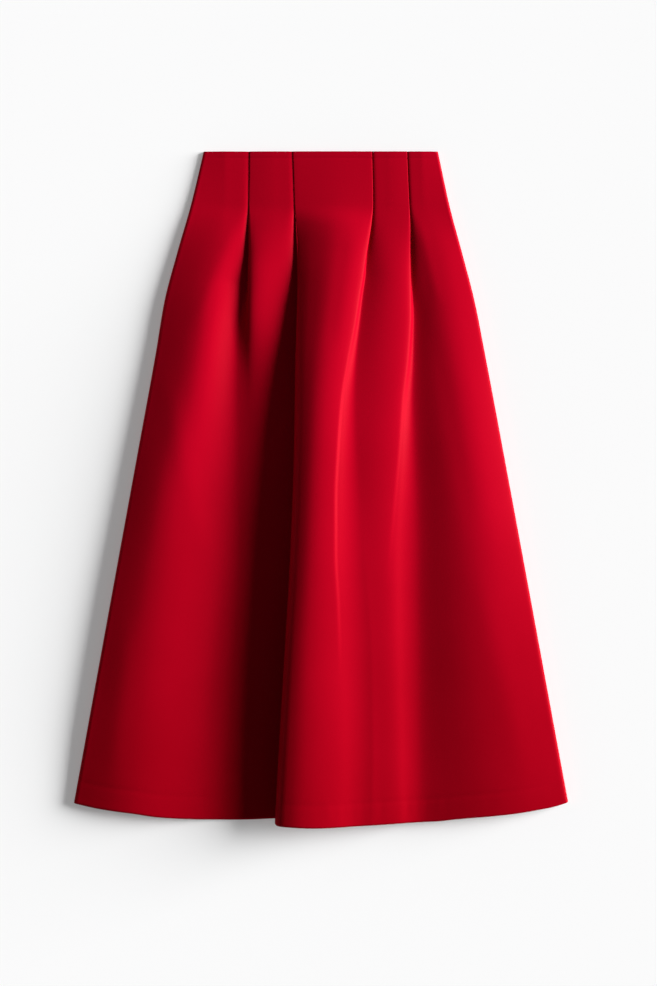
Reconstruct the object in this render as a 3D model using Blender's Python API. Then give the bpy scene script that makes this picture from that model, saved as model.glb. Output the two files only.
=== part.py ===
"""Pleated midi skirt laid flat on its back, construction in metres.

X runs across the skirt, Y from the hem to the waist, Z up from the surface it
rests on. The front panel has four pressed folds that are stitched down from the
waist and open into soft waves below. The back is two flat panels with a
concealed zip in the seam between them. Cross sections are worked out from the
tables of folds below, whose rows are stations down the skirt in millimetres.
"""

import bpy
import numpy as np

MM = 0.001

# lengths and widths
SKIRT_LENGTH = 870.0
WAIST_Y = 435.0
WAIST_DIP = 0.5
WAIST_HALF = 152.0
CLOTH_THICK = 1.0
SEAM_GAP = 0.3
LAYER_PITCH = 1.35
STITCHED_DOWN = 69.0
SIDE_ROLL_WIDTH = 5.0

# a crease is pressed flat up to the first roll and fully soft from the second
ROLL_PRESSED = 0.7
ROLL_SOFT = 4.2
ROLL_LOOSE = 10.7
LOOSE_PITCH = 2.2

# rows of points down the front: stitched, opening from there, then lower
STITCHED_ROWS = 4
OPENING_ROWS = 12
OPENING_LENGTH = 246.0
OPENING_CROWDING = 1.5
LOWER_ROWS = 12
SOFTEN_SHARE = 0.5
SOFTEN_PASSES = 5
SOFTEN_LENGTH = 60.0

# points across the front at which the hem steps down over the centre fold
HEM_STEP_FIRST = 37
HEM_STEP_POINTS = 8.0

# back panels
BACK_SHORTER = 5.0
BACK_CORNER_WIDTH = 26.0
BACK_RAISE = 2.45
BACK_RAISE_HALF = 24.0
BACK_RAISE_LENGTH = 66.0
BACK_RAISE_SIDE = 13.0
BACK_RAISE_END = 22.0
BACK_UPPER_ROWS = 23
BACK_LOWER_FROM = 110.0
BACK_LOWER_ROWS = 13
BACK_SHARES = (0.0, 0.04, 0.09, 0.2, 0.4, 0.6, 0.8, 1.0)
BACK_STOPS = (20.0, 16.0, 12.0, 7.0)
SLIDER_NOTCH_HALF = 1.5
SLIDER_NOTCH_LENGTH = 16.0

# concealed zip
ZIP_LENGTH = 205.0
ZIP_TOP_DOWN = 4.0
TAPE_WIDTH = 9.8
TAPE_FOLD = 7.0
TAPE_UPPER_ROWS = 22
TAPE_LOWER_FROM = 90.0
TAPE_LOWER_ROWS = 5
SLIDER_DOWN = 13.0
SLIDER_WIDTH = 7.0
SLIDER_LENGTH = 11.0
SLIDER_HEIGHT = 2.2
SLIDER_NECK_WIDTH = 1.4
SLIDER_CORNER = 1.6
SLIDER_BEVEL = 0.5
BRIDGE_LENGTH = 7.6
BRIDGE_BAR = 0.8
BRIDGE_LEG = 1.2
BRIDGE_WINDOW = 1.35
TAB_WIDTH = 5.0
TAB_END_WIDTH = 6.6
TAB_LENGTH = 23.0
TAB_THICK = 0.8
TAB_SLOT_WIDTH = 2.2
TAB_SLOT_LENGTH = 6.0
TAB_PIVOT_SHIFT = 1.7

CLOTH_RED = (0.47, 0.004, 0.018, 1.0)
TAPE_RED = (0.33, 0.004, 0.016, 1.0)
METAL_RED = (0.30, 0.006, 0.018, 1.0)

# side outline: how far the left and right edges are from the middle
OUTLINE_COLUMNS = ("down", "left", "right")
OUTLINE = [
    (0, 152.0, 151.5),
    (72, 168.8, 166.5),
    (134, 186.0, 182.5),
    (200, 202.8, 199.0),
    (268, 213.8, 212.0),
    (400, 237.0, 236.0),
    (870, 320.0, 320.0),
]

# height of the soft folds at the two side edges above the surface
EDGE_COLUMNS = ("down", "left", "right")
EDGES = [
    (0, 4.2, 4.2),
    (69, 5.8, 5.2),
    (100, 7.5, 6.6),
    (200, 10.4, 8.2),
    (300, 12.4, 9.0),
    (450, 14.4, 9.6),
    (600, 15.4, 9.8),
    (740, 14.4, 9.8),
    (870, 9.7, 9.4),
]

# each pleat: where its crease is, the height of the under layer and of the
# crease, how deep the cloth is tucked under, how round the crease is, and how
# far the fold has opened into a plain step
PLEAT_COLUMNS = ("down", "across", "foot", "top", "tuck", "roll", "opened")
PLEAT_ONE = [
    (0, -92, 3.4, 6.1, 14, 0.7, 0),
    (69, -93, 3.6, 6.3, 14, 0.7, 0),
    (95, -94, 4.0, 9.0, 13, 1.5, 0),
    (127, -95, 4.5, 13.5, 10, 2.5, 0),
    (166, -96, 5.0, 16.0, 6, 4, 0.15),
    (192, -95, 5.3, 16.0, 3, 6, 0.45),
    (218, -93, 5.4, 15.0, 1, 8, 0.8),
    (270, -90, 5.5, 10.6, 0, 10, 1),
    (322, -88, 5.4, 7.4, 0, 11, 1),
    (387, -87, 5.2, 5.7, 0, 11, 1),
    (517, -87, 5.0, 5.2, 0, 10, 1),
    (647, -94, 5.0, 5.1, 0, 10, 1),
    (870, -106, 5.0, 5.1, 0, 10, 1),
]
PLEAT_TWO = [
    (0, -36, 4.9, 7.6, 18, 0.7, 0),
    (69, -33.8, 4.9, 7.6, 18, 0.7, 0),
    (95, -33.2, 4.5, 8.4, 18, 1.6, 0),
    (127, -33, 4.0, 10.4, 18, 2.4, 0),
    (166, -33, 4.0, 14.4, 18, 3.4, 0),
    (218, -33.2, 4.0, 21.0, 18, 4.6, 0),
    (270, -33.8, 4.0, 27.5, 18, 6, 0),
    (387, -35.6, 4.0, 35.5, 18, 7, 0),
    (517, -40.2, 4.0, 39.5, 18, 7, 0),
    (647, -47.6, 4.0, 40.5, 18, 7, 0),
    (777, -55.3, 4.0, 39.0, 18, 7, 0),
    (870, -60.4, 4.0, 36.0, 18, 7, 0),
]
PLEAT_THREE = [
    (0, 65.6, 4.7, 7.4, 14, 0.7, 0),
    (69, 67, 4.7, 7.4, 14, 0.7, 0),
    (95, 65.2, 5.2, 10.4, 10, 0.9, 0.1),
    (127, 60.5, 7.4, 14.6, 5, 1.4, 0.4),
    (150, 56.0, 10.2, 17.6, 2, 1.9, 0.75),
    (166, 53, 12.4, 19.8, 1, 2.2, 1),
    (190, 48.5, 15.6, 22.9, 0, 2.8, 1),
    (218, 44, 18.6, 25.8, 0, 3.6, 1),
    (270, 34, 22.8, 31.0, 0, 6, 1),
    (322, 25, 26.0, 35.0, 0, 9.5, 1),
    (387, 19.5, 28.6, 38.5, 0, 13, 1),
    (517, 16, 29.6, 40.5, 0, 19, 1),
    (647, 20, 27.4, 38.0, 0, 22, 1),
    (777, 22, 26.0, 36.3, 0, 22, 1),
    (870, 20, 24.6, 34.0, 0, 22, 1),
]
PLEAT_FOUR = [
    (0, 111, 3.4, 6.1, 14, 0.7, 0),
    (69, 114, 3.6, 6.3, 14, 0.7, 0),
    (95, 115.7, 4.0, 8.0, 10, 0.9, 0),
    (127, 116.5, 4.8, 10.2, 6, 1.4, 0.1),
    (166, 116.5, 6.4, 13.4, 3, 1.8, 0.4),
    (192, 116, 7.6, 15.4, 1, 2.2, 0.75),
    (218, 115, 8.8, 17.2, 0, 2.8, 1),
    (270, 111, 10.4, 19.8, 0, 4.6, 1),
    (322, 104.5, 11.8, 22.2, 0, 7.5, 1),
    (387, 100, 13.4, 23.6, 0, 11, 1),
    (517, 92, 15.0, 24.8, 0, 17, 1),
    (647, 94, 14.0, 23.0, 0, 17, 1),
    (777, 97, 13.3, 21.5, 0, 16.5, 1),
    (870, 99, 12.8, 20.0, 0, 16.5, 1),
]

# crests of the soft waves between the pleats
CREST_COLUMNS = ("down", "across", "height")
CREST_ONE = [
    (0, -125, 4.6),
    (69, -125, 5.6),
    (95, -128, 10.0),
    (127, -134, 15.5),
    (166, -141, 20.5),
    (218, -149, 25.5),
    (322, -167, 29.0),
    (387, -184, 30.0),
    (452, -199, 30.5),
    (582, -219, 30.0),
    (712, -239, 28.0),
    (870, -253, 23.5),
]
CREST_TWO = [
    (0, -62, 6.2),
    (69, -62, 6.5),
    (95, -69, 10.5),
    (127, -77, 14.8),
    (166, -82, 17.6),
    (218, -82, 16.0),
    (270, -78, 11.6),
    (322, -75, 8.0),
    (387, -72, 6.2),
    (870, -86, 5.4),
]
CREST_THREE = [
    (0, 15, 8.3),
    (69, 18, 9.6),
    (95, 18, 17.4),
    (127, 16, 24.0),
    (166, 10, 29.6),
    (218, 3, 35.6),
    (270, -6, 40.3),
    (387, -14, 45.0),
    (517, -20, 47.5),
    (647, -28, 47.5),
    (777, -34, 46.0),
    (870, -39, 43.0),
]
CREST_FOUR = [
    (0, 88, 6.1),
    (69, 90, 6.4),
    (95, 89, 9.0),
    (127, 88, 13.0),
    (166, 88, 18.0),
    (218, 85, 22.0),
    (270, 83, 24.6),
    (322, 82, 26.2),
    (387, 77, 28.0),
    (517, 76, 27.4),
    (647, 80, 25.2),
    (777, 81, 23.6),
    (870, 80, 22.2),
]
CREST_FIVE = [
    (0, 130, 4.8),
    (69, 133, 5.3),
    (95, 142, 8.2),
    (127, 152, 11.6),
    (166, 158, 14.2),
    (218, 163, 17.6),
    (270, 171, 19.8),
    (322, 181, 22.0),
    (387, 189, 24.2),
    (517, 204, 26.0),
    (647, 212, 24.6),
    (777, 228, 22.8),
    (870, 238, 21.0),
]

# hem: how far below the waist line the cloth ends, from side to side
HEM_COLUMNS = ("across", "down")
HEM_LEFT = [
    (-320, 842.5),
    (-292, 848),
    (-266, 851.6),
    (-240, 854.8),
    (-214, 859.0),
    (-188, 861.4),
    (-150, 863.4),
    (-110, 864.0),
    (-60, 862.5),
]
HEM_RIGHT = [
    (-60, 867.5),
    (0, 870),
    (45, 869),
    (100, 867),
    (150, 865),
    (175, 862),
    (228, 857.2),
    (254, 854.4),
    (280, 850.4),
    (305, 845.8),
    (320, 841.2),
]

# shares of the way from a crest down to the next under layer
FLANK_STEPS = (0.28, 0.52, 0.7, 0.83, 0.92, 0.97)


def read_table(rows, columns, name, at):
    """Reads one named column of a table at any stations, along smooth arcs."""
    data = np.array(rows, float)
    station = data[:, 0]
    value = data[:, columns.index(name)]
    gap = np.diff(station)
    rate = np.diff(value) / gap
    slope = np.zeros(len(station))
    slope[0] = rate[0]
    slope[-1] = rate[-1]
    # a weighted mean of the two rates keeps each arc between its two rows
    before = rate[:-1]
    after = rate[1:]
    same_way = before * after > 0.0
    heavy = 2.0 * gap[1:] + gap[:-1]
    light = gap[1:] + 2.0 * gap[:-1]
    safe_before = np.where(same_way, before, 1.0)
    safe_after = np.where(same_way, after, 1.0)
    mean = (heavy + light) / (heavy / safe_before + light / safe_after)
    slope[1:-1] = np.where(same_way, mean, 0.0)
    spot = np.asarray(at, float)
    row = np.clip(np.searchsorted(station, spot, side="right") - 1, 0, len(station) - 2)
    share = np.clip((spot - station[row]) / gap[row], 0.0, 1.0)
    square = share * share
    cube = square * share
    start = (2.0 * cube - 3.0 * square + 1.0) * value[row]
    start_rate = (cube - 2.0 * square + share) * gap[row] * slope[row]
    end = (3.0 * square - 2.0 * cube) * value[row + 1]
    end_rate = (cube - square) * gap[row] * slope[row + 1]
    return start + start_rate + end + end_rate


def pleat_points(rows, side, down):
    """Points of one pleat, from its under layer round two turns to its crease."""
    crease = read_table(rows, PLEAT_COLUMNS, "across", down)
    foot = read_table(rows, PLEAT_COLUMNS, "foot", down)
    top = read_table(rows, PLEAT_COLUMNS, "top", down)
    tuck = read_table(rows, PLEAT_COLUMNS, "tuck", down)
    roll = read_table(rows, PLEAT_COLUMNS, "roll", down)
    opened = read_table(rows, PLEAT_COLUMNS, "opened", down)
    looseness = np.clip((roll - ROLL_PRESSED) / (ROLL_LOOSE - ROLL_PRESSED), 0.0, 1.0)
    pitch = LAYER_PITCH + LOOSE_PITCH * looseness
    turn = 0.5 * pitch
    rise = 0.5 * np.maximum(top - foot - pitch, LAYER_PITCH)
    half_circle = np.radians((-90.0, -45.0, 0.0, 45.0, 90.0))
    folded = [(-0.6 - 0.25 * roll, 0.0 * foot), (0.45 * tuck, 0.0 * foot)]
    for angle in half_circle:
        folded.append((tuck - turn + turn * np.cos(angle), turn + turn * np.sin(angle)))
    folded.append((0.5 * (tuck + roll), pitch))
    for angle in half_circle:
        folded.append((roll - roll * np.cos(angle), pitch + rise * (1.0 + np.sin(angle))))
    last = len(folded) - 1
    points = []
    for number, (fold_x, fold_z) in enumerate(folded):
        share = number / last
        step_x = -2.0 * roll * (1.0 - share)
        step_z = (top - foot) * share**1.7
        x = fold_x * (1.0 - opened) + step_x * opened
        z = fold_z * (1.0 - opened) + step_z * opened
        points.append((crease + side * x, foot + z))
    return points


def crest_point(rows, down):
    """The one point on the crest of a soft wave."""
    across = read_table(rows, CREST_COLUMNS, "across", down)
    height = read_table(rows, CREST_COLUMNS, "height", down)
    return across, height


def flank_points(crest, foot, sharpness, straightness=0.0):
    """Points from a crest down to an under layer, level first where sharp."""
    points = []
    for share in FLANK_STEPS:
        soft = share * share * (3.0 - 2.0 * share)
        soft = soft + (share - soft) * straightness
        drop = sharpness * share**14 + (1.0 - sharpness) * soft
        x = crest[0] + (foot[0] - crest[0]) * share
        z = crest[1] + (foot[1] - crest[1]) * drop
        points.append((x, z))
    return points


def rise_points(low, high, shares, power):
    """Points from a low point up to a high one, rounding over near the top."""
    points = []
    for share in shares:
        x = low[0] + (high[0] - low[0]) * share
        z = low[1] + (high[1] - low[1]) * (1.0 - (1.0 - share) ** power)
        points.append((x, z))
    return points


def side_roll(side, half, height):
    """Points from a side seam, just over the back, round the soft side fold."""
    seam = CLOTH_THICK + SEAM_GAP
    points = []
    for angle in np.radians((0.0, 22.0, 45.0, 68.0, 90.0)):
        x = side * (half - SIDE_ROLL_WIDTH * (1.0 - np.cos(angle)))
        z = seam + (height - seam) * np.sin(angle)
        points.append((x, z))
    return points


def front_section(down):
    """All points across the front panel, left to right, at each station down."""
    left_reach = read_table(OUTLINE, OUTLINE_COLUMNS, "left", down)
    right_reach = read_table(OUTLINE, OUTLINE_COLUMNS, "right", down)
    left_edge = side_roll(-1.0, left_reach, read_table(EDGES, EDGE_COLUMNS, "left", down))
    right_edge = side_roll(1.0, right_reach, read_table(EDGES, EDGE_COLUMNS, "right", down))
    one = pleat_points(PLEAT_ONE, 1.0, down)
    two = pleat_points(PLEAT_TWO, 1.0, down)
    three = pleat_points(PLEAT_THREE, -1.0, down)
    four = pleat_points(PLEAT_FOUR, -1.0, down)
    crests = [
        crest_point(rows, down)
        for rows in (CREST_ONE, CREST_TWO, CREST_THREE, CREST_FOUR, CREST_FIVE)
    ]
    sharp = []
    for rows in (PLEAT_ONE, PLEAT_TWO, PLEAT_THREE, PLEAT_FOUR):
        roll = read_table(rows, PLEAT_COLUMNS, "roll", down)
        opened = read_table(rows, PLEAT_COLUMNS, "opened", down)
        softness = np.clip((roll - ROLL_PRESSED) / (ROLL_SOFT - ROLL_PRESSED), 0.0, 1.0)
        sharp.append((1.0 - opened) * (1.0 - softness))
    # each run of points has a share of the softening; a tight fold has none
    whole = 1.0 + 0.0 * down
    loose = [
        read_table(rows, PLEAT_COLUMNS, "opened", down)
        for rows in (PLEAT_ONE, PLEAT_TWO, PLEAT_THREE, PLEAT_FOUR)
    ]
    runs = [
        (left_edge, whole),
        (rise_points(left_edge[-1], crests[0], (0.4, 0.75), 1.06), whole),
        ([crests[0]], whole),
        (flank_points(crests[0], one[0], sharp[0]), whole),
        (one[:8], loose[0]),
        (one[8:], whole),
        (rise_points(one[-1], crests[1], (0.5,), 1.6), whole),
        ([crests[1]], whole),
        (flank_points(crests[1], two[0], sharp[1]), whole),
        (two[:8], loose[1]),
        (two[8:], 0.25 * whole),
        (rise_points(two[-1], crests[2], (0.5,), 1.8), whole),
        ([crests[2]], whole),
        (rise_points(three[-1], crests[2], (0.65, 0.3), 1.6), whole),
        (three[:7:-1], whole),
        (three[7::-1], loose[2]),
        (flank_points(crests[3], three[0], sharp[2], loose[2])[::-1], whole),
        ([crests[3]], whole),
        (rise_points(four[-1], crests[3], (0.5,), 1.6), whole),
        (four[:7:-1], whole),
        (four[7::-1], loose[3]),
        (flank_points(crests[4], four[0], sharp[3])[::-1], whole),
        ([crests[4]], whole),
        (rise_points(right_edge[-1], crests[4], (0.65, 0.3), 1.15), whole),
        (right_edge[::-1], whole),
    ]
    points = [point for run, share in runs for point in run]
    shares = [share for run, share in runs for point in run]
    x = np.array([point[0] + 0.0 * down for point in points]).T
    z = np.array([point[1] + 0.0 * down for point in points]).T
    return x, z, np.array(shares).T


def soften(x, z, amount, passes):
    """Draws each point a little to the middle of its neighbours across."""
    for _ in range(passes):
        for grid in (x, z):
            middle = 0.5 * (grid[:, :-2] + grid[:, 2:])
            grid[:, 1:-1] += amount[:, 1:-1] * (middle - grid[:, 1:-1])


def front_grid():
    """The middle surface of the front panel, as grids of x, y and z."""
    stitched = np.linspace(0.0, STITCHED_DOWN, STITCHED_ROWS)
    share = np.linspace(0.0, 1.0, OPENING_ROWS + 1)[1:]
    opening = STITCHED_DOWN + OPENING_LENGTH * share**OPENING_CROWDING
    lower = np.linspace(opening[-1], SKIRT_LENGTH, LOWER_ROWS + 1)[1:]
    down = np.concatenate([stitched, opening, lower])
    x, z, shares = front_section(down)
    freed = np.clip((down - STITCHED_DOWN) / SOFTEN_LENGTH, 0.0, 1.0)
    soften(x, z, SOFTEN_SHARE * shares * freed[:, None], SOFTEN_PASSES)
    # each column runs to its own length at the hem
    hem_x = x[-1]
    left = read_table(HEM_LEFT, HEM_COLUMNS, "down", hem_x)
    right = read_table(HEM_RIGHT, HEM_COLUMNS, "down", hem_x)
    number = np.arange(x.shape[1])
    share = np.clip((number - HEM_STEP_FIRST) / HEM_STEP_POINTS, 0.0, 1.0)
    share = share * share * (3.0 - 2.0 * share)
    length = left + (right - left) * share
    top = WAIST_Y - WAIST_DIP * (x[0] / WAIST_HALF) ** 2
    reach = down / SKIRT_LENGTH
    y = top[None, :] - reach[:, None] * length[None, :]
    return x, y, z


def back_raise(x, down):
    """How far the back stands up over the zip pull, in millimetres."""
    across = np.clip((BACK_RAISE_HALF - np.abs(x)) / BACK_RAISE_SIDE, 0.0, 1.0)
    along = np.clip((BACK_RAISE_LENGTH - down) / BACK_RAISE_END, 0.0, 1.0)
    across = across * across * (3.0 - 2.0 * across)
    along = along * along * (3.0 - 2.0 * along)
    return BACK_RAISE * across * along


def zip_seam_half(down):
    """Half the gap in the zip seam, wider only where the slider goes through."""
    from_slider = np.abs(down - SLIDER_DOWN) / (0.5 * SLIDER_NOTCH_LENGTH)
    spread = np.clip(3.0 - 3.0 * from_slider, 0.0, 1.0)
    return 0.5 * SEAM_GAP + (SLIDER_NOTCH_HALF - 0.5 * SEAM_GAP) * spread


def back_grid(side):
    """The middle surface of one back panel, from its side seam to the zip seam."""
    down = np.concatenate([
        np.linspace(0.0, BACK_RAISE_LENGTH, BACK_UPPER_ROWS),
        np.linspace(BACK_LOWER_FROM, SKIRT_LENGTH, BACK_LOWER_ROWS),
    ])
    name = "left" if side < 0.0 else "right"
    edge = read_table(OUTLINE, OUTLINE_COLUMNS, name, down) + 0.5 * CLOTH_THICK
    columns = []
    for share in BACK_SHARES:
        columns.append(edge + (BACK_RAISE_HALF - edge) * share)
    for stop in BACK_STOPS:
        columns.append(stop + 0.0 * down)
    columns.append(zip_seam_half(down))
    x = side * np.array(columns).T
    z = 0.5 * CLOTH_THICK + back_raise(x, down[:, None])
    top = WAIST_Y - WAIST_DIP * (x[0] / WAIST_HALF) ** 2
    hem_x = x[-1]
    rows = HEM_LEFT if side < 0.0 else HEM_RIGHT
    length = read_table(rows, HEM_COLUMNS, "down", hem_x) - BACK_SHORTER
    level = read_table(HEM_LEFT, HEM_COLUMNS, "down", -60.0) - BACK_SHORTER
    length = np.minimum(length, level)
    corner = np.clip(1.0 - (edge[-1] - np.abs(hem_x)) / BACK_CORNER_WIDTH, 0.0, 1.0)
    length = length + BACK_SHORTER * corner
    y = top[None, :] - (down / SKIRT_LENGTH)[:, None] * length[None, :]
    if side > 0.0:
        x = x[:, ::-1]
        y = y[:, ::-1]
        z = z[:, ::-1]
    return x, y, z


def tape_grid(side):
    """The middle surface of one zip tape, lifted off the back's inner face."""
    down = np.concatenate([
        np.linspace(ZIP_TOP_DOWN, BACK_RAISE_LENGTH, TAPE_UPPER_ROWS),
        np.linspace(TAPE_LOWER_FROM, ZIP_TOP_DOWN + ZIP_LENGTH, TAPE_LOWER_ROWS),
    ])
    inner = zip_seam_half(down)
    outer = inner[-1] + TAPE_WIDTH + 0.0 * down
    x = side * np.stack([inner, TAPE_FOLD + 0.0 * down, outer], axis=1)
    y = WAIST_Y - down[:, None] + 0.0 * x
    lift = CLOTH_THICK + SEAM_GAP
    z = 0.5 * CLOTH_THICK + lift + back_raise(x, down[:, None])
    if side > 0.0:
        x = x[:, ::-1]
        z = z[:, ::-1]
    return x, y, z


def point_normals(points):
    """Directions out of a grid, long enough to keep a wall's full thickness."""
    a = points[1:, 1:] - points[:-1, :-1]
    b = points[:-1, 1:] - points[1:, :-1]
    face = np.cross(a, b)
    face /= np.linalg.norm(face, axis=2, keepdims=True)
    total = np.zeros(points.shape)
    total[:-1, :-1] += face
    total[1:, :-1] += face
    total[:-1, 1:] += face
    total[1:, 1:] += face
    unit = total / np.linalg.norm(total, axis=2, keepdims=True)
    match = np.zeros(points.shape[:2])
    count = np.zeros(points.shape[:2])
    for row in (slice(0, -1), slice(1, None)):
        for column in (slice(0, -1), slice(1, None)):
            match[row, column] += np.sum(unit[row, column] * face, axis=2)
            count[row, column] += 1.0
    length = 1.0 / np.clip(match / count, 0.75, 1.0)
    return unit * length[:, :, None]


def plain_material(name, colour, roughness, metallic):
    """One plain material with the given colour."""
    material = bpy.data.materials.new(name)
    material.use_nodes = True
    shader = material.node_tree.nodes["Principled BSDF"]
    shader.inputs["Base Color"].default_value = colour
    shader.inputs["Roughness"].default_value = roughness
    shader.inputs["Metallic"].default_value = metallic
    material.diffuse_color = colour
    return material


def add_solid(name, points, faces, material, smooth, origin=(0.0, 0.0, 0.0)):
    """Adds one closed solid, given its points and its origin in millimetres."""
    mesh = bpy.data.meshes.new(name)
    own = (np.asarray(points, float) - np.array(origin)) * MM
    mesh.from_pydata(own.tolist(), [], faces)
    mesh.validate()
    mesh.update()
    if smooth:
        mesh.shade_smooth()
        mesh.set_sharp_from_angle(angle=np.radians(50.0))
    mesh.materials.append(material)
    solid = bpy.data.objects.new(name, mesh)
    solid.location = [MM * value for value in origin]
    bpy.context.scene.collection.objects.link(solid)
    return solid


def cloth_wall(name, grid, seams, material):
    """A closed wall of cloth on both sides of a grid of middle points."""
    points = np.stack(grid, axis=2)
    rows, columns = points.shape[:2]
    normal = point_normals(points)
    # at a side seam the wall stands upright, its end just over the back's edge
    for column in seams:
        normal[:, column, 0] = np.sign(normal[:, column, 0])
        normal[:, column, 1:] = 0.0
    upper = points + 0.5 * CLOTH_THICK * normal
    lower = points - 0.5 * CLOTH_THICK * normal
    corners = np.concatenate([upper.reshape(-1, 3), lower.reshape(-1, 3)])
    number = np.arange(rows * columns).reshape(rows, columns)
    under = number + rows * columns
    faces = []
    a = number[:-1, :-1].ravel()
    b = number[1:, :-1].ravel()
    c = number[1:, 1:].ravel()
    d = number[:-1, 1:].ravel()
    shift = rows * columns
    faces += np.stack([a, b, c, d], axis=1).tolist()
    faces += (np.stack([d, c, b, a], axis=1) + shift).tolist()
    # rim round the four edges
    rim = np.concatenate([
        number[:, 0],
        number[-1, 1:],
        number[-2::-1, -1],
        number[0, -2:0:-1],
    ])
    ahead = np.roll(rim, -1)
    faces += np.stack([ahead, rim, rim + shift, ahead + shift], axis=1).tolist()
    return add_solid(name, corners, faces, material, True)


def stepped_solid(name, outlines, levels, material, origin=(0.0, 0.0, 0.0)):
    """A solid stacked from outlines with equally many points, at given heights."""
    count = len(outlines[0])
    points = []
    for outline, level in zip(outlines, levels):
        points += [(x, y, level) for x, y in outline]
    faces = [list(range(count))[::-1]]
    for step in range(len(levels) - 1):
        base = step * count
        for k in range(count):
            after = (k + 1) % count
            faces.append([base + k, base + after, base + count + after, base + count + k])
    last = (len(levels) - 1) * count
    faces.append([last + k for k in range(count)])
    return add_solid(name, points, faces, material, False, origin)


def rounded_box(width, length, corner, centre_y):
    """An outline with cut corners, counter-clockwise."""
    half_x = 0.5 * width
    half_y = 0.5 * length
    return [
        (half_x - corner, centre_y - half_y),
        (half_x, centre_y - half_y + corner),
        (half_x, centre_y + half_y - corner),
        (half_x - corner, centre_y + half_y),
        (-half_x + corner, centre_y + half_y),
        (-half_x, centre_y + half_y - corner),
        (-half_x, centre_y - half_y + corner),
        (-half_x + corner, centre_y - half_y),
    ]


def box_solid(name, low, high, material, origin=(0.0, 0.0, 0.0)):
    """A plain block between two opposite corners."""
    outline = [(low[0], low[1]), (high[0], low[1]), (high[0], high[1]), (low[0], high[1])]
    return stepped_solid(name, [outline, outline], [low[2], high[2]], material, origin)


def hide_operand(solid):
    """Keeps a helper solid out of the finished part."""
    solid.hide_render = True
    solid.display_type = "WIRE"


def combine(solid, other, operation):
    """Adds a helper solid to another one, or cuts it away."""
    step = solid.modifiers.new(operation.lower(), "BOOLEAN")
    step.operation = operation
    step.solver = "EXACT"
    step.object = other
    hide_operand(other)


def make_slider(material):
    """The slider: a body inside the skirt and a bridge that stands through the seam."""
    centre = WAIST_Y - SLIDER_DOWN
    cloth_under = BACK_RAISE
    tape_over = cloth_under + 2.0 * CLOTH_THICK + 2.0 * SEAM_GAP
    body_low = tape_over
    body_high = body_low + SLIDER_HEIGHT
    narrower = 2.0 * SLIDER_BEVEL
    wide = rounded_box(SLIDER_WIDTH, SLIDER_LENGTH, SLIDER_CORNER, centre)
    top = rounded_box(SLIDER_WIDTH - narrower, SLIDER_LENGTH - narrower, SLIDER_CORNER, centre)
    levels = [body_low, body_high - SLIDER_BEVEL, body_high]
    slider = stepped_solid("zip_slider", [wide, wide, top], levels, material)
    half = 0.5 * BRIDGE_LENGTH
    bar_low = cloth_under - BRIDGE_WINDOW - BRIDGE_BAR
    width = 0.5 * SLIDER_NECK_WIDTH
    bridge = box_solid(
        "zip_slider_bridge",
        (-width, centre - half, bar_low),
        (width, centre + half, body_low + 0.6),
        material,
    )
    window = box_solid(
        "zip_slider_window",
        (-2.0, centre - half + BRIDGE_LEG, bar_low + BRIDGE_BAR),
        (2.0, centre + half - BRIDGE_LEG, cloth_under),
        material,
    )
    combine(bridge, window, "DIFFERENCE")
    combine(slider, bridge, "UNION")
    return slider


def make_tab(material):
    """The pull tab: a flat drop with a slot that hangs on the slider's bridge."""
    pivot_y = WAIST_Y - SLIDER_DOWN + TAB_PIVOT_SHIFT
    pivot_z = BACK_RAISE - 0.5 * BRIDGE_WINDOW
    pivot = (0.0, pivot_y, pivot_z)
    half = 0.5 * TAB_THICK
    narrow = 0.5 * TAB_WIDTH
    wide = 0.5 * TAB_END_WIDTH
    top = pivot_y + half
    end = top - TAB_LENGTH
    right_side = [
        (narrow - 0.8, top),
        (narrow, top - 0.8),
        (narrow, top - 8.0),
        (wide, end + 4.5),
        (0.72 * wide, end + 1.2),
        (0.30 * wide, end),
    ]
    left_side = [(-x, y) for x, y in right_side[::-1]]
    outline = (right_side + left_side)[::-1]
    levels = [pivot_z - half, pivot_z + half]
    tab = stepped_solid("zip_pull_tab", [outline, outline], levels, material, pivot)
    slot = box_solid(
        "zip_tab_slot",
        (-0.5 * TAB_SLOT_WIDTH, top - TAB_THICK - TAB_SLOT_LENGTH, pivot_z - 1.0),
        (0.5 * TAB_SLOT_WIDTH, top - TAB_THICK, pivot_z + 1.0),
        material,
        pivot,
    )
    combine(tab, slot, "DIFFERENCE")
    return tab


for old in list(bpy.data.objects):
    bpy.data.objects.remove(old, do_unlink=True)

cloth_front = plain_material("cloth_front", CLOTH_RED, 0.42, 0.0)
cloth_back_left = plain_material("cloth_back_left", CLOTH_RED, 0.42, 0.0)
cloth_back_right = plain_material("cloth_back_right", CLOTH_RED, 0.42, 0.0)

cloth_wall("front_panel", front_grid(), (0, -1), cloth_front)
cloth_wall("back_panel_left", back_grid(-1.0), (), cloth_back_left)
cloth_wall("back_panel_right", back_grid(1.0), (), cloth_back_right)

tape_left = plain_material("tape_left", TAPE_RED, 0.7, 0.0)
tape_right = plain_material("tape_right", TAPE_RED, 0.7, 0.0)
slider_paint = plain_material("slider_paint", METAL_RED, 0.35, 0.0)
tab_paint = plain_material("tab_paint", METAL_RED, 0.35, 0.0)

cloth_wall("zip_tape_left", tape_grid(-1.0), (), tape_left)
cloth_wall("zip_tape_right", tape_grid(1.0), (), tape_right)
make_slider(slider_paint)
make_tab(tab_paint)
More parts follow.
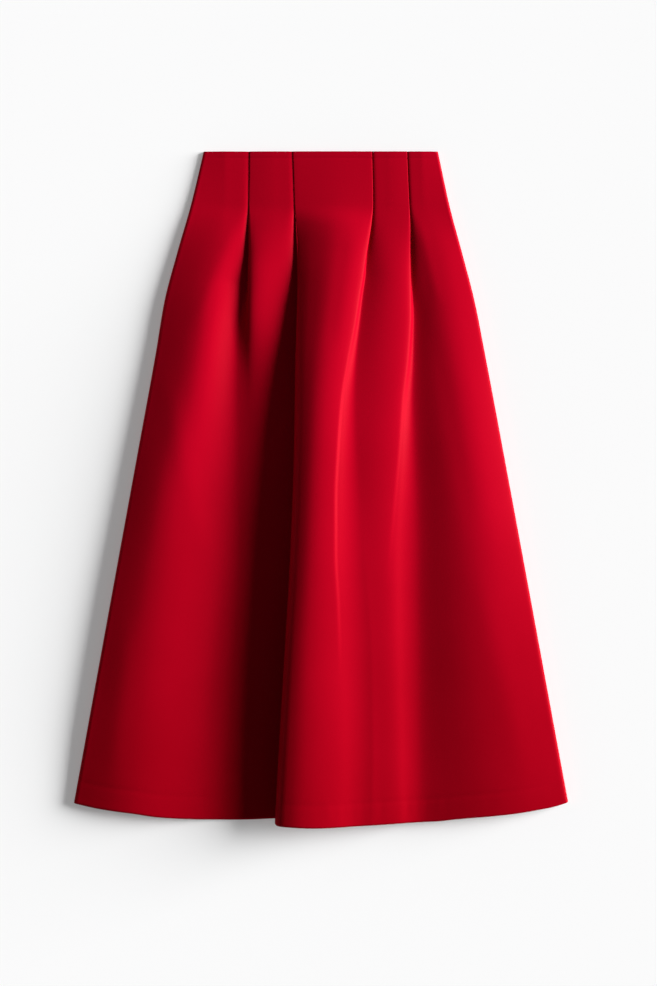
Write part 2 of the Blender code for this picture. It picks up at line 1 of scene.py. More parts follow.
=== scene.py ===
import bpy
import bmesh
import numpy as np
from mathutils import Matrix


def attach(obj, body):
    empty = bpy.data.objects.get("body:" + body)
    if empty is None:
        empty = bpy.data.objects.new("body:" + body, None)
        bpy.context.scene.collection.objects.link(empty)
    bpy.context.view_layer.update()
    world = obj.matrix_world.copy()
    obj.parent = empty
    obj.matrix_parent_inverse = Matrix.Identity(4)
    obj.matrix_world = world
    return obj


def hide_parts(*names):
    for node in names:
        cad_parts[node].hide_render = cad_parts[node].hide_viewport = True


# A pleated midi skirt laid flat on its back. Tables are in millimetres, the
# frame in metres: X across, Y from the hem to the waist, Z up to the eye.

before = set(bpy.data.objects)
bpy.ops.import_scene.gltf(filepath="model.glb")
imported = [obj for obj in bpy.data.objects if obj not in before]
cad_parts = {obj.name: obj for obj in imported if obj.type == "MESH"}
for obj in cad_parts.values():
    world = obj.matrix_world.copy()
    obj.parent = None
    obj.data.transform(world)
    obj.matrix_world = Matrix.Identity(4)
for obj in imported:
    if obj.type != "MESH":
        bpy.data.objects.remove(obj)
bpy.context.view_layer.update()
print("frame loaded")

mm = 0.001

cut = {
    "length": 870.0,        # waist edge to the lowest point of the hem
    "waistY": 435.0,
    "waistDip": -0.4,       # how far the waist edge drops at its two ends; below nought it rises
    "waistHalf": 152.0,
    "wall": 0.6,            # thickness of the cloth
    "seamGap": 0.3,         # from the front to the back at a side seam
    "hemEase": 1.2,         # how much the front's hem has stretched
    "hemTurn": 29.0,        # depth of the turned-up hem
    "hemLayer": 0.5,        # thickness that the turned-up hem adds inside
    "hemStep": 3.0,         # over which that thickness ends
    "waistTurn": 8.5,       # depth of the turned edge at the waist
    "outline": ("down", "left", "right"), "outlineRows": [
        (0, 152.0, 151.5),
        (72, 168.8, 166.5),
        (134, 186.0, 182.5),
        (200, 202.8, 199.0),
        (268, 213.8, 212.0),
        (400, 237.0, 236.0),
        (870, 320.0, 320.0),
    ],
    "edges": ("down", "left", "right"), "edgeRows": [
        (0, 4.2, 4.2),
        (69, 5.8, 5.2),
        (100, 7.5, 6.6),
        (200, 10.4, 8.2),
        (300, 12.4, 9.0),
        (450, 14.4, 9.6),
        (600, 15.4, 9.8),
        (740, 14.4, 9.8),
        (870, 9.7, 9.4),
    ],
    "hem": ("across", "down"), "hemLeftRows": [
        (-320, 842.5),
        (-292, 848),
        (-266, 851.6),
        (-240, 854.8),
        (-214, 859.0),
        (-188, 861.4),
        (-150, 863.4),
        (-110, 864.0),
        (-60, 862.5),
    ], "hemRightRows": [
        (-60, 867.5),
        (0, 870),
        (45, 869),
        (100, 867),
        (150, 865),
        (175, 862),
        (228, 857.2),
        (254, 854.4),
        (280, 850.4),
        (305, 845.8),
        (320, 841.2),
    ],
}

# each pleat, down the skirt: its crease, the height of the under layer and of
# the crease, the depth of the tuck, how round the crease is, how far it opened
pleatNames = ("down", "across", "foot", "top", "tuck", "roll", "opened")
crestNames = ("down", "across", "height")
front = {
    "layerPitch": 1.35,     # from one tucked layer to the next
    "loosePitch": 2.2,      # how much further apart they lie in a loose fold
    "pressedLift": 1.3,     # how much closer the stitched layers lie than loose ones
    "flushLift": 1.1,       # how much higher the cloth beside a stitched crease lies
    "flushFrom": 61.0,
    "flushLength": 40.0,
    "stitchedDown": 69.0,
    "sideRollWidth": 3.6,
    # how round a crease is when pressed, off its layers, no longer sharp, loose
    "rollPressed": 0.7,
    "rollLifted": 2.7,
    "rollSoft": 4.2,
    "rollLoose": 10.7,
    "underReach": 0.6,      # how far outside the crease the under layer starts
    "underShare": 0.25,     # and the share of the roll that this grows by
    "tuckMiddle": 0.45,     # the next point, as a share of the tuck
    "tuckPoints": 8,        # points of a pleat before its crease turns up
    "stepPower": 1.7,       # how late the step of an opened fold rises
    "sharpPower": 14,       # how late the cloth drops beside a sharp crease
    "flankSteps": (0.28, 0.52, 0.7, 0.83, 0.92, 0.97),
    # shares of the way up to a crest, and how much the way rounds over
    "edgeSteps": (0.07,),
    "leftSteps": (0.5, 0.9),
    "leftPower": 1.0,
    "rightSteps": (0.65, 0.3),
    "rightPower": 1.1,
    "innerSteps": (0.5,),
    "innerPowers": (1.6, 1.8),
    "creaseSettle": (1.0, 0.25),
    "settlePart": 0.5,
    "settleLength": 60.0,
    "settlePasses": 5,
    "finer": 3,             # new columns of points for each column of the folds
    "hemStepFirst": 38.0,   # column at which the hem steps down over the centre fold
    "hemStepColumns": 8.0,
    # rows of points: from, to, how many; then the last ones, up from the hem
    "rows": ((0.0, 14.0, 12), (14.0, 60.0, 12), (60.0, 330.0, 58), (330.0, 820.0, 48), (820.0, 867.0, 26)),
    "hemRows": (3.0, 2.0, 1.3, 0.8, 0.4, 0.0),
    "pleats": [[
        (0, -92, 3.4, 6.1, 14, 0.7, 0),
        (69, -93, 3.6, 6.3, 14, 0.7, 0),
        (95, -94, 4.0, 9.0, 13, 1.5, 0),
        (127, -95, 4.5, 13.5, 10, 2.5, 0),
        (166, -96, 5.0, 16.0, 6, 4, 0.15),
        (192, -95, 5.3, 16.0, 3, 6, 0.45),
        (218, -93, 5.4, 15.0, 1, 8, 0.8),
        (270, -90, 5.5, 10.6, 0, 10, 1),
        (322, -88, 5.4, 7.4, 0, 11, 1),
        (387, -87, 5.2, 5.7, 0, 11, 1),
        (517, -87, 5.0, 5.2, 0, 10, 1),
        (647, -94, 5.0, 5.1, 0, 10, 1),
        (870, -106, 5.0, 5.1, 0, 10, 1),
    ], [
        (0, -36, 4.9, 7.6, 18, 0.7, 0),
        (69, -33.8, 4.9, 7.6, 18, 0.7, 0),
        (95, -33.2, 4.5, 8.4, 18, 1.6, 0),
        (127, -33, 4.0, 10.4, 18, 2.4, 0),
        (166, -33, 4.0, 14.4, 18, 3.4, 0),
        (218, -33.2, 4.0, 21.0, 18, 4.6, 0),
        (270, -33.8, 4.0, 27.5, 18, 6, 0),
        (387, -35.6, 4.0, 35.5, 18, 7, 0),
        (517, -40.2, 4.0, 39.5, 18, 7, 0),
        (647, -47.6, 4.0, 40.5, 18, 7, 0),
        (777, -55.3, 4.0, 39.0, 18, 7, 0),
        (870, -60.4, 4.0, 36.0, 18, 7, 0),
    ], [
        (0, 65.6, 4.7, 7.4, 14, 0.7, 0),
        (69, 67, 4.7, 7.4, 14, 0.7, 0),
        (95, 65.2, 5.2, 10.4, 10, 0.9, 0.1),
        (127, 60.5, 7.4, 14.6, 5, 1.4, 0.4),
        (150, 56.0, 10.2, 17.6, 2, 1.9, 0.75),
        (166, 53, 12.4, 19.8, 1, 2.2, 1),
        (190, 48.5, 15.6, 22.9, 0, 2.8, 1),
        (218, 44, 18.6, 25.8, 0, 3.6, 1),
        (270, 34, 22.8, 31.0, 0, 6, 1),
        (322, 25, 26.0, 35.0, 0, 9.5, 1),
        (387, 19.5, 28.6, 38.5, 0, 13, 1),
        (517, 16, 29.6, 40.5, 0, 19, 1),
        (647, 20, 27.4, 38.0, 0, 22, 1),
        (777, 22, 26.0, 36.3, 0, 22, 1),
        (870, 20, 24.6, 34.0, 0, 22, 1),
    ], [
        (0, 111, 3.4, 6.1, 14, 0.7, 0),
        (69, 114, 3.6, 6.3, 14, 0.7, 0),
        (95, 115.7, 4.0, 8.0, 10, 0.9, 0),
        (127, 116.5, 4.8, 10.2, 6, 1.4, 0.1),
        (166, 116.5, 6.4, 13.4, 3, 1.8, 0.4),
        (192, 116, 7.6, 15.4, 1, 2.2, 0.75),
        (218, 115, 8.8, 17.2, 0, 2.8, 1),
        (270, 111, 10.4, 19.8, 0, 4.6, 1),
        (322, 104.5, 11.8, 22.2, 0, 7.5, 1),
        (387, 100, 13.4, 23.6, 0, 11, 1),
        (517, 92, 15.0, 24.8, 0, 17, 1),
        (647, 94, 14.0, 23.0, 0, 17, 1),
        (777, 97, 13.3, 21.5, 0, 16.5, 1),
        (870, 99, 12.8, 20.0, 0, 16.5, 1),
    ]],
    "crests": [[
        (0, -125, 4.6),
        (69, -125, 5.6),
        (95, -128, 10.0),
        (127, -134, 15.5),
        (166, -141, 20.5),
        (218, -149, 25.5),
        (322, -167, 29.0),
        (387, -184, 30.0),
        (452, -199, 30.5),
        (582, -219, 30.0),
        (712, -239, 28.0),
        (870, -253, 23.5),
    ], [
        (0, -62, 6.2),
        (69, -62, 6.5),
        (95, -69, 10.5),
        (127, -77, 14.8),
        (166, -82, 17.6),
        (218, -82, 16.0),
        (270, -78, 11.6),
        (322, -75, 8.0),
        (387, -72, 6.2),
        (870, -86, 5.4),
    ], [
        (0, 15, 8.3),
        (69, 18, 9.6),
        (95, 18, 17.4),
        (127, 16, 24.0),
        (166, 10, 29.6),
        (218, 3, 35.6),
        (270, -6, 40.3),
        (387, -14, 45.0),
        (517, -20, 47.5),
        (647, -28, 47.5),
        (777, -34, 46.0),
        (870, -39, 43.0),
    ], [
        (0, 88, 6.1),
        (69, 90, 6.4),
        (95, 89, 9.0),
        (127, 88, 13.0),
        (166, 88, 18.0),
        (218, 85, 22.0),
        (270, 83, 24.6),
        (322, 82, 26.2),
        (387, 77, 28.0),
        (517, 76, 27.4),
        (647, 80, 25.2),
        (777, 81, 23.6),
        (870, 80, 22.2),
    ], [
        (0, 130, 4.8),
        (69, 133, 5.3),
        (95, 142, 8.2),
        (127, 152, 11.6),
        (166, 158, 14.2),
        (218, 163, 17.6),
        (270, 171, 19.8),
        (322, 181, 22.0),
        (387, 189, 24.2),
        (517, 204, 26.0),
        (647, 212, 24.6),
        (777, 228, 22.8),
        (870, 238, 21.0),
    ]],
}


def readTable(rows, names, name, at):
    # one named column at any stations, on smooth arcs that never overshoot a row
    data = np.array(rows, float)
    station = data[:, 0]
    value = data[:, names.index(name)]
    gap = np.diff(station)
    rate = np.diff(value) / gap
    slope = np.zeros(len(station))
    slope[0] = rate[0]
    slope[-1] = rate[-1]
    sameWay = rate[:-1] * rate[1:] > 0.0
    heavy = 2.0 * gap[1:] + gap[:-1]
    light = gap[1:] + 2.0 * gap[:-1]
    before = np.where(sameWay, rate[:-1], 1.0)
    after = np.where(sameWay, rate[1:], 1.0)
    slope[1:-1] = np.where(sameWay, (heavy + light) / (heavy / before + light / after), 0.0)
    spot = np.asarray(at, float)
    row = np.clip(np.searchsorted(station, spot, side="right") - 1, 0, len(station) - 2)
    share = np.clip((spot - station[row]) / gap[row], 0.0, 1.0)
    square = share * share
    cube = square * share
    fromStart = (2.0 * cube - 3.0 * square + 1.0) * value[row]
    fromStart = fromStart + (cube - 2.0 * square + share) * gap[row] * slope[row]
    fromEnd = (3.0 * square - 2.0 * cube) * value[row + 1]
    fromEnd = fromEnd + (cube - square) * gap[row] * slope[row + 1]
    return fromStart + fromEnd


def smooth(value):
    # 0 to 1 with level ends: three squares less two cubes
    value = np.clip(value, 0.0, 1.0)
    return value * value * (3.0 - 2.0 * value)


def ramp(value, start, end):
    # 0 up to the start, then evenly to 1 at the end
    return np.clip((value - start) / (end - start), 0.0, 1.0)


def bell(value):
    # a soft hump: e to the power of minus the square
    return np.exp(-value * value)


def rowsDown(spans, last):
    # stations down the cloth: so many in each span, then the last ones
    runs = [np.linspace(start, end, count, endpoint=False) for start, end, count in spans]
    return np.concatenate(runs + [np.array(last)])


def runDown(x, down, length):
    # each column runs to its own length: Y, and the true way down from the waist
    top = cut["waistY"] - cut["waistDip"] * (x[0] / cut["waistHalf"]) ** 2
    real = (down / cut["length"])[:, None] * length[None, :]
    return top[None, :] - real, real


def pleatPoints(rows, side, down):
    # under layer, a half circle, the tucked layer, a half circle, the crease;
    # where the fold has opened the points lie along one soft step instead
    read = {name: readTable(rows, pleatNames, name, down) for name in pleatNames[1:]}
    roll, foot, top, tuck = read["roll"], read["foot"], read["top"], read["tuck"]
    # pressed layers lie close under the crease where the pleat is stitched down
    lift = front["pressedLift"] * (1.0 - ramp(roll, front["rollPressed"], front["rollLifted"]))
    foot = foot + lift
    loose = ramp(roll, front["rollPressed"], front["rollLoose"])
    pitch = front["layerPitch"] + front["loosePitch"] * loose - 0.5 * lift
    turn = 0.5 * pitch
    rise = 0.5 * np.maximum(top - foot - pitch, pitch)
    halfCircle = np.radians((-90.0, -45.0, 0.0, 45.0, 90.0))
    level = 0.0 * foot
    folded = [(-front["underReach"] - front["underShare"] * roll, level), (front["tuckMiddle"] * tuck, level)]
    folded += [(tuck - turn + turn * np.cos(a), turn + turn * np.sin(a)) for a in halfCircle]
    folded += [(0.5 * (tuck + roll), pitch)]
    folded += [(roll - roll * np.cos(a), pitch + rise * (1.0 + np.sin(a))) for a in halfCircle]
    points = []
    for number, (foldX, foldZ) in enumerate(folded):
        share = number / (len(folded) - 1)
        stepX = -2.0 * roll * (1.0 - share)
        stepZ = (top - foot) * share ** front["stepPower"]
        x = foldX * (1.0 - read["opened"]) + stepX * read["opened"]
        z = foldZ * (1.0 - read["opened"]) + stepZ * read["opened"]
        points.append((read["across"] + side * x, foot + z))
    sharp = (1.0 - read["opened"]) * (1.0 - ramp(roll, front["rollPressed"], front["rollSoft"]))
    return points, sharp, read["opened"]


def flankPoints(crest, foot, sharp, straight=0.0):
    # from a crest down to an under layer, staying level first where the fold is sharp
    points = []
    for share in front["flankSteps"]:
        soft = share * share * (3.0 - 2.0 * share)
        soft = soft + (share - soft) * straight
        drop = sharp * share ** front["sharpPower"] + (1.0 - sharp) * soft
        points.append((crest[0] + (foot[0] - crest[0]) * share, crest[1] + (foot[1] - crest[1]) * drop))
    return points


def risePoints(low, high, shares, power):
    # from a low point up to a high one, rounding over near the top
    points = []
    for share in shares:
        climb = 1.0 - (1.0 - share) ** power
        points.append((low[0] + (high[0] - low[0]) * share, low[1] + (high[1] - low[1]) * climb))
    return points


def sideRoll(side, half, height):
    # a quarter ellipse from the side seam, just over the back, up on to the front
    seam = cut["wall"] + cut["seamGap"]
    points = []
    for angle in np.radians((0.0, 22.0, 45.0, 68.0, 90.0)):
        inward = front["sideRollWidth"] * (1.0 - np.cos(angle))
        points.append((side * (half - inward), seam + (height - seam) * np.sin(angle)))
    return points


def sideEdge(side, name, down):
    # the fold at one side edge, at each station
    half = readTable(cut["outlineRows"], cut["outline"], name, down)
    return sideRoll(side, half, readTable(cut["edgeRows"], cut["edges"], name, down))


def frontSection(down):
    # the points across the front, left to right, and how freely each may settle
    left = sideEdge(-1.0, "left", down)
    right = sideEdge(1.0, "right", down)
    sides = (1.0, 1.0, -1.0, -1.0)
    pleats = [pleatPoints(rows, side, down) for rows, side in zip(front["pleats"], sides)]
    crests = [
        (readTable(rows, crestNames, "across", down), readTable(rows, crestNames, "height", down))
        for rows in front["crests"]
    ]
    # where the pleats are stitched down the cloth beside each crease lies flush
    flush = front["flushLift"] * (1.0 - smooth((down - front["flushFrom"]) / front["flushLength"]))
    crests = [(x, z + flush * (k != 2)) for k, (x, z) in enumerate(crests)]
    whole = 1.0 + 0.0 * down
    fixed = 0.0 * down
    turned = front["tuckPoints"]
    inner = front["innerSteps"]
    power = front["innerPowers"]
    edge = risePoints(left[-1], crests[0], front["edgeSteps"], front["leftPower"])
    runs = [(left + edge, fixed)]
    runs += [(risePoints(left[-1], crests[0], front["leftSteps"], front["leftPower"]), whole)]
    for k in (0, 1):                # a crest, down into the pleat, over its crease, up again
        points, sharp, opened = pleats[k]
        runs += [([crests[k]], whole), (flankPoints(crests[k], points[0], sharp), whole)]
        runs += [(points[:turned], opened), (points[turned:], front["creaseSettle"][k] * whole)]
        runs += [(risePoints(points[-1], crests[k + 1], inner, power[k]), whole)]
    runs += [([crests[2]], whole)]
    runs += [(risePoints(pleats[2][0][-1], crests[2], front["rightSteps"], power[0]), whole)]
    for k in (2, 3):                # the same the other way round
        points, sharp, opened = pleats[k]
        flank = flankPoints(crests[k + 1], points[0], sharp, (3 - k) * opened)
        runs += [(points[turned:][::-1], whole), (points[:turned][::-1], opened)]
        runs += [(flank[::-1], whole), ([crests[k + 1]], whole)]
        if k == 2:
            runs += [(risePoints(pleats[3][0][-1], crests[3], inner, power[0]), whole)]
    runs += [(risePoints(right[-1], crests[4], front["rightSteps"], front["rightPower"]), whole)]
    edge = risePoints(right[-1], crests[4], front["edgeSteps"], front["rightPower"])
    runs += [(edge + right[::-1], fixed)]
    x = np.array([point[0] + 0.0 * down for run, share in runs for point in run]).T
    z = np.array([point[1] + 0.0 * down for run, share in runs for point in run]).T
    settle = np.array([share for run, share in runs for point in run]).T
    return x, z, settle


def settleIn(x, z, settle, down):
    # each point draws in to the middle of its neighbours, more freely below the stitching
    start = front["stitchedDown"]
    freed = front["settlePart"] * ramp(down, start, start + front["settleLength"])[:, None]
    for _ in range(front["settlePasses"]):
        for grid in (x, z):
            middle = 0.5 * (grid[:, :-2] + grid[:, 2:])
            grid[:, 1:-1] += freed * settle[:, 1:-1] * (middle - grid[:, 1:-1])


def finerAcross(x, z, steps):
    # a smooth curve through each row of points; a long step beside a short one
    # keeps a small tangent, so tight turns stay as tight as they are
    longest = 2.5
    chord = np.hypot(np.diff(x, axis=1), np.diff(z, axis=1)) + 1e-6
    before = np.concatenate([chord[:, :1], chord], axis=1)
    after = np.concatenate([chord, chord[:, -1:]], axis=1)
    shares = np.arange(steps) / steps
    result = []
    for grid in (x, z):
        rate = np.diff(grid, axis=1) / chord
        rateBefore = np.concatenate([rate[:, :1], rate], axis=1)
        rateAfter = np.concatenate([rate, rate[:, -1:]], axis=1)
        tangent = (after * rateBefore + before * rateAfter) / (before + after)
        reachStart = np.minimum(chord, longest * np.minimum(before, after)[:, :-1])
        reachEnd = np.minimum(chord, longest * np.minimum(before, after)[:, 1:])
        s = shares[None, None, :]
        start = (2 * s**3 - 3 * s**2 + 1) * grid[:, :-1, None]
        start = start + (s**3 - 2 * s**2 + s) * (reachStart * tangent[:, :-1])[:, :, None]
        end = (3 * s**2 - 2 * s**3) * grid[:, 1:, None]
        end = end + (s**3 - s**2) * (reachEnd * tangent[:, 1:])[:, :, None]
        rows = grid.shape[0]
        fine = (start + end).reshape(rows, -1)
        result.append(np.concatenate([fine, grid[:, -1:]], axis=1))
    return result


def pointNormals(points):
    # the mean direction of the faces round each point, long enough for a full wall
    leastMatch = 0.75
    face = np.cross(points[1:, 1:] - points[:-1, :-1], points[:-1, 1:] - points[1:, :-1])
    face /= np.linalg.norm(face, axis=2, keepdims=True) + 1e-12
    total = np.zeros(points.shape)
    halves = (slice(0, -1), slice(1, None))
    corners = [(rows, columns) for rows in halves for columns in halves]
    for rows, columns in corners:
        total[rows, columns] += face
    unit = total / (np.linalg.norm(total, axis=2, keepdims=True) + 1e-12)
    match = np.zeros(points.shape[:2])
    count = np.zeros(points.shape[:2])
    for rows, columns in corners:
        match[rows, columns] += np.sum(unit[rows, columns] * face, axis=2)
        count[rows, columns] += 1.0
    return unit / np.clip(match / count, leastMatch, 1.0)[:, :, None]


def clothShell(name, points, over, under, seamColumns, material):
    # both faces of a cloth whose middle points are a grid, with a rim all round;
    # over and under are the millimetres from the middle to each face
    rows, columns = points.shape[:2]
    normal = pointNormals(points)
    for column in seamColumns:      # upright at a side seam
        normal[:, column, 0] = np.sign(normal[:, column, 0])
        normal[:, column, 1:] = 0.0
    over = np.broadcast_to(over, (rows, columns))[:, :, None]
    under = np.broadcast_to(under, (rows, columns))[:, :, None]
    corners = np.concatenate([
        (points + over * normal).reshape(-1, 3),
        (points - under * normal).reshape(-1, 3),
    ])
    number = np.arange(rows * columns).reshape(rows, columns)
    shift = rows * columns
    quads = np.stack([number[:-1, :-1], number[1:, :-1], number[1:, 1:], number[:-1, 1:]], axis=2)
    quads = quads.reshape(-1, 4)
    rim = np.concatenate([number[:, 0], number[-1, 1:], number[-2::-1, -1], number[0, -2:0:-1]])
    ahead = np.roll(rim, -1)
    band = np.stack([ahead, rim, rim + shift, ahead + shift], axis=1)
    faces = np.concatenate([quads, quads[:, ::-1] + shift, band])
    # the cloth's own flat lengths, in metres, across and down
    stepAcross = np.linalg.norm(np.diff(points, axis=1), axis=2)
    stepDown = np.linalg.norm(np.diff(points, axis=0), axis=2)
    across = np.concatenate([np.zeros((rows, 1)), np.cumsum(stepAcross, axis=1)], axis=1)
    across = across - 0.5 * across[:, -1:]
    along = np.concatenate([np.zeros((1, columns)), np.cumsum(stepDown, axis=0)], axis=0)
    flat = np.tile(np.stack([across, along], axis=2).reshape(-1, 2) * mm, (2, 1))
    return addMesh(name, corners, faces, material, flat)


sharpFrom = 60.0            # degrees between two faces that show an edge


def addMesh(name, corners, faces, material, flat=None):
    # one object from points in millimetres and faces of equal size
    mesh = bpy.data.meshes.new(name)
    mesh.from_pydata((np.asarray(corners) * mm).tolist(), [], np.asarray(faces).tolist())
    mesh.update()
    mesh.shade_smooth()
    mesh.set_sharp_from_angle(angle=np.radians(sharpFrom))
    if flat is not None:
        layer = mesh.uv_layers.new(name="cloth")
        corner = np.zeros(len(mesh.loops), dtype=np.int32)
        mesh.loops.foreach_get("vertex_index", corner)
        layer.data.foreach_set("uv", flat[corner].astype(np.float32).ravel())
    mesh.materials.append(material)
    piece = bpy.data.objects.new(name, mesh)
    bpy.context.scene.collection.objects.link(piece)
    return piece


class Wire:
    # a shader socket that takes part in sums: + - * add Math nodes

    def __init__(self, tree, socket=None):
        self.tree = tree
        self.socket = socket

    def make(self, kind, settings, inputs, output=0):
        # any node: its type, its settings, then the values or links of its sockets
        node = self.tree.nodes.new(kind)
        for key, value in settings.items():
            setattr(node, key, value)
        for key, value in inputs.items():
            if isinstance(value, Wire):
                self.tree.links.new(value.socket, node.inputs[key])
            else:
                node.inputs[key].default_value = value
        return Wire(self.tree, node.outputs[output])

    def noise(self, place, scale, detail, roughness=0.5):
        inputs = {"Vector": place, "Scale": scale, "Detail": detail, "Roughness": roughness}
        return self.make("ShaderNodeTexNoise", {}, inputs, "Fac")

    def part(self, axis):
        return self.make("ShaderNodeSeparateXYZ", {}, {"Vector": self}, axis)

    def mix(self, factor, first, second):
        # from the first colour to the second
        return self.make("ShaderNodeMix", {"data_type": "RGBA"}, {"Factor": factor, 6: first, 7: second}, 2)

    def relief(self, strength, distance):
        # this height as a bump
        inputs = {"Height": self, "Strength": strength, "Distance": distance}
        return self.make("ShaderNodeBump", {}, inputs)

    def sum(self, operation, first, second):
        return self.make("ShaderNodeMath", {"operation": operation}, {0: first, 1: second})

    def sine(self):
        return self.make("ShaderNodeMath", {"operation": "SINE"}, {0: self})

    def __add__(self, other):
        return self.sum("ADD", self, other)

    def __radd__(self, other):
        return self.sum("ADD", other, self)

    def __sub__(self, other):
        return self.sum("SUBTRACT", self, other)

    def __mul__(self, other):
        return self.sum("MULTIPLY", self, other)

    def __rmul__(self, other):
        return self.sum("MULTIPLY", other, self)


def blankMaterial(name, settings):
    # an empty material with one Principled BSDF, whose even values are set directly
    material = bpy.data.materials.new(name)
    material.use_nodes = True
    tree = material.node_tree
    shader = tree.nodes["Principled BSDF"]
    for key, value in settings.items():
        shader.inputs[key].default_value = value
    return material, Wire(tree), shader


def joinWires(shader, wires):
    # each wire to the socket of its name
    for name, wire in wires.items():
        wire.tree.links.new(wire.socket, shader.inputs[name])


satin = {
    "deep": (0.255, 0.0002, 0.0050, 1.0),
    "plain": (0.360, 0.0003, 0.0102, 1.0),
    "cloudScale": 7.0,
    "cloudShare": 0.6,      # how much the cloud moves the colour
    "middle": 0.55,         # where between the two colours the cloth lies
    "paintedPaleness": 1.5,           # painted light: how much paler it gets for each metre towards the waist
    "roughness": 0.42,
    "roughSpread": 0.10,
    "grainScale": 900.0,
    "grainShare": 0.7,
    "weaveShare": 0.3,
    "threads": 1900.0,      # threads to the metre, across and along
    "weaveHeight": 0.00004,
    "weaveStrength": 0.35,
    "fixed": {"Specular IOR Level": 0.01},
}


def satinMaterial(name, shift):
    # red satin-faced crepe: soft cloudy colour with painted light that pales it towards the waist, fine grain
    # along the cloth's own lengths
    material, start, shader = blankMaterial(name, satin["fixed"])
    flat = start.make("ShaderNodeUVMap", {"uv_map": "cloth"}, {})
    place = start.make("ShaderNodeTexCoord", {}, {}, "Object")
    cloud = start.noise(place, satin["cloudScale"] + shift, 3.0)
    grain = start.noise(flat, satin["grainScale"], 2.0, 0.6)
    turn = 2.0 * np.pi * satin["threads"]
    warp = (flat.part("X") * turn).sine()
    weft = (flat.part("Y") * turn).sine()
    weave = satin["weaveShare"] * warp * weft + satin["grainShare"] * grain
    # painted light: the colour grows paler up the cloth towards the waist
    factor = cloud * satin["cloudShare"] + satin["middle"] + place.part("Y") * satin["paintedPaleness"]
    joinWires(shader, {
        "Base Color": start.mix(factor, satin["deep"], satin["plain"]),
        "Roughness": satin["roughness"] + satin["roughSpread"] * (cloud - 0.5),
        "Normal": weave.relief(satin["weaveStrength"], satin["weaveHeight"]),
    })
    return material


# soft marks pressed in the cloth: where each starts and ends,
# its half width and its height, below nought for a trough
creaseNames = ("x", "down", "endX", "endDown", "width", "height")
creaseFade = 0.35           # share of its length over which a mark fades
creases = [
    (-200, 300, -150, 520, 14, 0.5),
    (-130, 560, -150, 760, 16, -0.5),
    (150, 250, 190, 470, 12, -0.4),
    (205, 560, 260, 800, 16, 0.5),
    (-250, 620, -270, 800, 12, 0.5),
    (8, 838, 12, 862, 5, 0.2),
    (-110, 96, -160, 220, 9, 0.4),
    (30, 110, 12, 250, 8, -0.4),
    (128, 95, 150, 190, 7, 0.35),
]


def creaseRelief(x, down):
    # each crease is a bell across its line, fading towards both ends
    total = np.zeros(x.shape)
    for row in creases:
        crease = dict(zip(creaseNames, row))
        runX = crease["endX"] - crease["x"]
        runDown = crease["endDown"] - crease["down"]
        length = np.hypot(runX, runDown)
        fromX = x - crease["x"]
        fromDown = down - crease["down"]
        along = (fromX * runX + fromDown * runDown) / length**2
        aside = (fromX * runDown - fromDown * runX) / length
        ends = smooth(along / creaseFade + 0.5) * smooth((1.0 - along) / creaseFade + 0.5)
        total += crease["height"] * bell(aside / crease["width"]) * ends
    return total


# the crisp line along a pressed crease that has opened: how far down, where, how strong
crispNames = ("down", "across", "height")
crispLines = [[
    (170, 52.0, 0.0), (218, 44.0, 0.3), (270, 34.0, 0.7), (322, 25.5, 1.0),
    (387, 20.6, 1.2), (452, 17.6, 1.2), (517, 17.6, 1.0), (582, 20.8, 0.7), (680, 24.0, 0.0),
], [
    (200, 116.0, 0.0), (270, 111.0, 0.3), (322, 104.6, 0.5),
    (387, 100.0, 0.6), (452, 94.0, 0.4), (560, 84.0, 0.0),
]]
crispRise = 12.0            # how slowly it rises, how far past the line, and how fast it drops
crispPast = 1.2
crispDrop = 5.0


def crispRelief(x, down):
    # up slowly towards the line, down again in a few millimetres beyond it
    total = np.zeros(x.shape)
    for rows in crispLines:
        past = x - readTable(rows, crispNames, "across", down)
        height = readTable(rows, crispNames, "height", down)
        rise = np.exp(np.minimum(past, 0.0) / crispRise)
        total += height * rise * (1.0 - smooth((past + crispPast) / crispDrop))
    return total


# beside the centre fold the cloth still dips where the stitching lets it go
dipNames = ("down", "across", "height")
dipLine = [
    (72, -33.8, 0.0), (100, -33.2, 1.3), (127, -33.0, 2.6),
    (166, -33.0, 2.6), (218, -33.2, 1.2), (270, -33.8, 0.0),
]
dipReach = 15.0
dipEdge = 3.0


def dipRelief(x, down):
    # deepest at the fold's edge, fading out over the cloth to its right
    past = x - readTable(dipLine, dipNames, "across", down)
    height = readTable(dipLine, dipNames, "height", down)
    return -height * np.exp(-np.maximum(past, 0.0) / dipReach) * smooth((past + dipEdge) / dipEdge)


def hemLayer(toHem):
    # the turned-up hem is one more wall inside, ending in a step
    return cut["hemLayer"] * smooth((cut["hemTurn"] - toHem) / cut["hemStep"] + 0.5)


frontDetail = {
    "hemGroove": 0.5,       # depth of the line where the turned-up hem ends
    "hemGrooveWidth": 3.8,
    "hemLeftShare": 0.55,   # how much of it shows on the left
    "hemRightFrom": -60.0,
    "hemRightLength": 260.0,
    "hemPucker": 0.05,      # faint waves in the turned hem, this far above its edge
    "puckerFrom": 20.0,
    "puckerReach": 14.0,
    "wander": (0.31, 1.7, 0.071),
    "ripple": (0.6, 0.53, 2.0),
    "hemRound": 2.6,        # how far the folded edge of the hem rounds over
    "hemDrop": 1.6,
    "waistGroove": 0.28,
    "waistGrooveWidth": 1.3,
    "edgeColumns": 5.0,     # columns at each side that stay plain
    "layerHeight": 3.0,     # tucked layers lie about here and stay plain too
    "layerFade": 6.0,
    "upperHeight": 4.0,     # beside the stitching only the upper layer has relief
    "upperFade": 2.0,
    "stitchedEnd": 60.0,
    "stitchedFade": 60.0,
}


